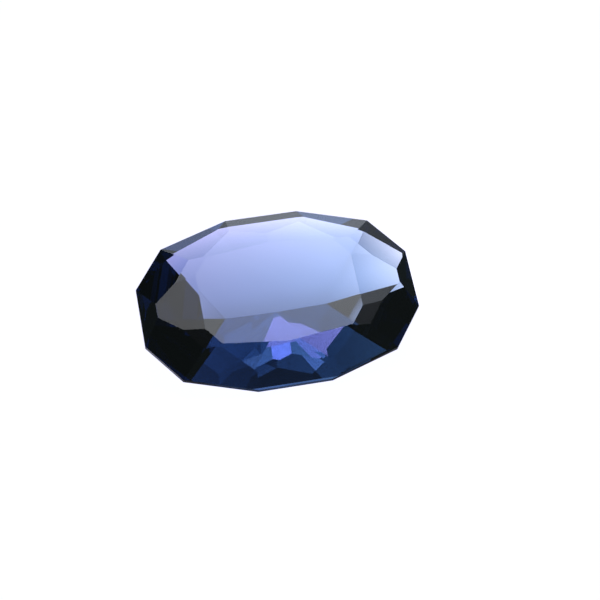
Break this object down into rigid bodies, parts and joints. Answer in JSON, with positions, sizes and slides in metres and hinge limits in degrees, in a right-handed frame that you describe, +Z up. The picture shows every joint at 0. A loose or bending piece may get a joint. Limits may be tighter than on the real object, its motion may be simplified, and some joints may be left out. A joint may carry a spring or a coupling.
{
  "type": "faceted oval tanzanite gemstone",
  "caption": "Loose oval mixed-cut gem with a broad table, flat crown and pointed keel, lying on one pavilion facet.",
  "frame": {"origin": "on the ground under the middle of the stone's bounding box, with the stone lying on one pavilion side main", "axes": "+X along the oval's length, +Z up; the table faces up and towards -Y"},
  "size_m": [0.01, 0.0056, 0.0042],
  "materials": {
    "tanzanite": "polished clear blue-violet crystal"
  },
  "bodies": {
    "root": {"tanzanite": "tanzanite"}
  },
  "joints": []
}
